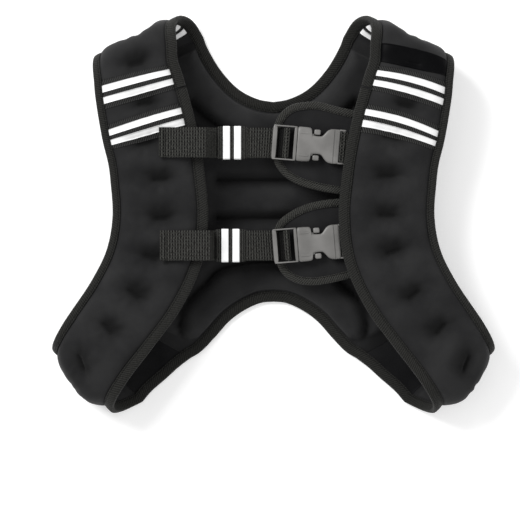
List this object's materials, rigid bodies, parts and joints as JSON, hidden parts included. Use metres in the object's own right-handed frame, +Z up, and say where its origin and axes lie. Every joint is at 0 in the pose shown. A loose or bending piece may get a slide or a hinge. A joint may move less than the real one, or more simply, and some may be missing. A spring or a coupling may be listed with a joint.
{
  "type": "weighted training vest",
  "caption": "Padded weighted vest lying on its back, buckled across the chest, with bound edges and reflective shoulder tapes.",
  "frame": {"origin": "centre of the bounding box, on the surface that the vest lies on", "axes": "+X to the right of someone looking at the front, +Y towards the shoulders, +Z up out of the chest"},
  "size_m": [0.445, 0.3992, 0.066],
  "materials": {
    "neoprene": "matte black neoprene with a fine knitted face",
    "edge_tape": "matte black ribbed edge tape",
    "webbing": "matte black webbing with ribs across the strap",
    "twill_tape": "dark grey twill tape",
    "reflective": "white retroreflective stripe",
    "buckle_plastic": "grey moulded plastic, slightly textured",
    "satin_patch": "smooth satin black, left bare"
  },
  "bodies": {
    "root": {"back_panel": "neoprene", "front_panel_left": "neoprene", "side_panel_left": "neoprene", "armhole_binding_left": "edge_tape", "front_panel_right": "neoprene", "side_panel_right": "neoprene", "armhole_binding_right": "edge_tape", "neck_binding": "edge_tape", "hem_binding": "edge_tape", "upper_tape_left": "twill_tape", "upper_tape_stripe_1_left": "reflective", "upper_tape_stripe_2_left": "reflective", "upper_tape_right": "twill_tape", "upper_tape_stripe_1_right": "reflective", "upper_tape_stripe_2_right": "reflective", "lower_tape_left": "twill_tape", "lower_tape_stripe_1_left": "reflective", "lower_tape_stripe_2_left": "reflective", "lower_tape_right": "twill_tape", "lower_tape_stripe_1_right": "reflective", "lower_tape_stripe_2_right": "reflective", "inner_tape_left": "twill_tape", "inner_tape_stripe_1_left": "reflective", "inner_tape_stripe_2_left": "reflective", "inner_tape_right": "twill_tape", "inner_tape_stripe_1_right": "reflective", "inner_tape_stripe_2_right": "reflective", "label_patch": "satin_patch", "upper_chest_strap": "webbing", "upper_keeper": "webbing", "upper_keeper_stripe_1": "reflective", "upper_keeper_stripe_2": "reflective", "upper_buckle_male": "buckle_plastic", "upper_buckle_female": "buckle_plastic", "upper_anchor_strap": "webbing", "upper_flap": "neoprene", "upper_flap_binding": "edge_tape", "lower_chest_strap": "webbing", "lower_keeper": "webbing", "lower_keeper_stripe_1": "reflective", "lower_keeper_stripe_2": "reflective", "lower_buckle_male": "buckle_plastic", "lower_buckle_female": "buckle_plastic", "lower_anchor_strap": "webbing", "lower_flap": "neoprene", "lower_flap_binding": "edge_tape"}
  },
  "joints": []
}
